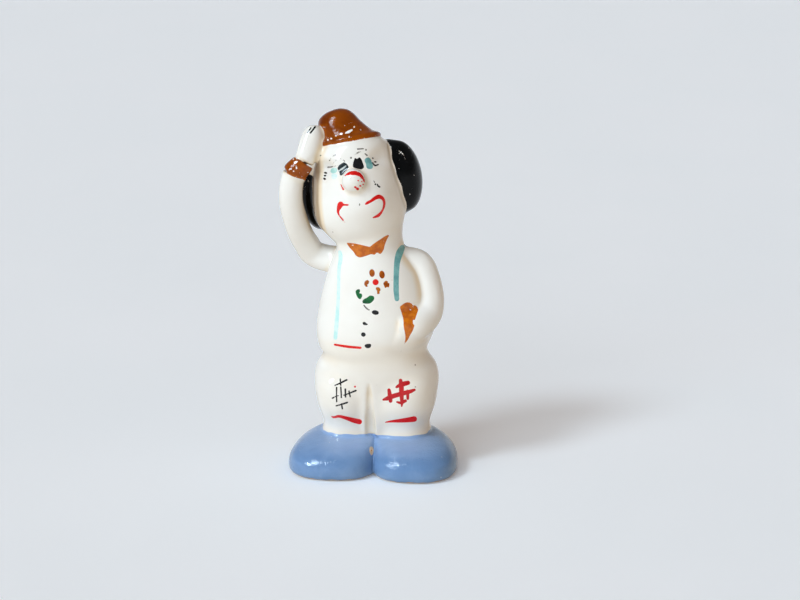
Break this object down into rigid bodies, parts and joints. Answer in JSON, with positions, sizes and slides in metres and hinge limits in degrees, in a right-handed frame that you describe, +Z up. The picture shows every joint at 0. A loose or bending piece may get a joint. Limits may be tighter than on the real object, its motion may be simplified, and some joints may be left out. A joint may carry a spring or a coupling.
{
  "type": "clown figurine",
  "caption": "Glazed porcelain clown figurine standing in big shoes, one hand raised to its hat and the other in its pocket; an ornament for a shelf.",
  "frame": {"origin": "middle of the bounding box's footprint, on the surface that the soles stand on", "axes": "+Z up, the clown faces -Y, and its raised right hand is on the -X side"},
  "size_m": [0.0586, 0.0428, 0.1165],
  "materials": {
    "porcelain": "clear gloss glaze on an ivory white body",
    "brown_glaze": "gloss brown glaze with small chips",
    "black_glaze": "gloss black glaze",
    "blue_glaze": "gloss pale blue glaze"
  },
  "bodies": {
    "root": {"right_shoe": "blue_glaze", "left_shoe": "blue_glaze", "trousers": "porcelain", "torso": "porcelain", "raised_sleeve": "porcelain", "raised_cuff": "brown_glaze", "raised_hand": "porcelain", "pocket_arm": "porcelain", "head": "porcelain", "nose": "porcelain", "hat": "brown_glaze", "right_hair": "black_glaze", "left_hair": "black_glaze"}
  },
  "joints": []
}
